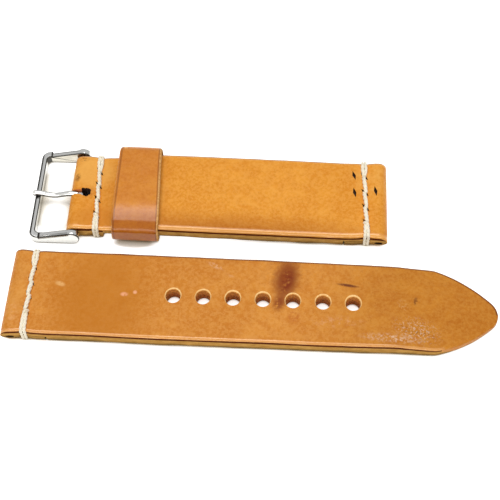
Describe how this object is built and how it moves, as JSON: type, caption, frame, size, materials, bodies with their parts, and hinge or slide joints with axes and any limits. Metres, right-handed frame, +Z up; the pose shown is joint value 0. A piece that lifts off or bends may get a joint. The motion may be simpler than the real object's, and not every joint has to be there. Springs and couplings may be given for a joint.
{
  "type": "watch strap",
  "caption": "Two-piece sewn leather watch strap: a buckle piece with a swinging frame, hinged tongue and sliding loop, and a punched, pointed tail.",
  "frame": {"origin": "on the table under the centre of the overall box of both pieces as they lie", "axes": "+X along the strap towards the tip of the tail, +Y across it from the tail towards the buckle piece, +Z up from the table"},
  "size_m": [0.1242, 0.0578, 0.0086],
  "materials": {
    "short_leather": "smooth waxed vegetable-tanned leather, light tan",
    "tail_leather": "worn waxed vegetable-tanned leather, tan with darker stains",
    "loop_leather": "thin burnished leather, red-brown tan and glossy",
    "waxed_thread": "thick cream waxed thread",
    "polished_steel": "mirror polished",
    "bar_steel": "turned steel",
    "spring_steel": "drawn wire"
  },
  "bodies": {
    "strap": {"short_strap": "short_leather", "tail_strap": "tail_leather", "buckle_row_thread": "waxed_thread", "short_lug_thread": "waxed_thread", "tail_lug_thread": "waxed_thread", "bar_tube": "bar_steel", "bar_spring": "spring_steel"},
    "loop": {"keeper_loop": "loop_leather", "keeper_thread": "waxed_thread"},
    "frame": {"buckle_frame": "polished_steel"},
    "tongue": {"buckle_tongue": "polished_steel"},
    "far_pin": {"bar_tip_far": "bar_steel"},
    "near_pin": {"bar_tip_near": "bar_steel"}
  },
  "joints": [
    {"name": "frame_swing", "type": "hinge", "parent": "strap", "child": "frame", "pos_m": [-0.04745, 0.01486, 0.00235], "axis": [0, 1, 0], "range_deg": [-140, 20]},
    {"name": "tongue_swing", "type": "hinge", "parent": "frame", "child": "tongue", "pos_m": [-0.04745, 0.01446, 0.00235], "axis": [0, 1, 0], "range_deg": [0, 75]},
    {"name": "loop_slide", "type": "slide", "parent": "strap", "child": "loop", "axis": [0.9995, 0, -0.0307], "range_m": [-0.002, 0.053]},
    {"name": "far_pin_press", "type": "slide", "parent": "strap", "child": "far_pin", "axis": [0, -1, 0], "range_m": [0, 0.0012], "stiffness_N_per_m": 400, "springref_m": -0.002, "deforming": ["bar_spring"]},
    {"name": "near_pin_press", "type": "slide", "parent": "strap", "child": "near_pin", "axis": [0, 1, 0], "range_m": [0, 0.0012], "stiffness_N_per_m": 400, "springref_m": -0.002, "deforming": ["bar_spring"]}
  ]
}
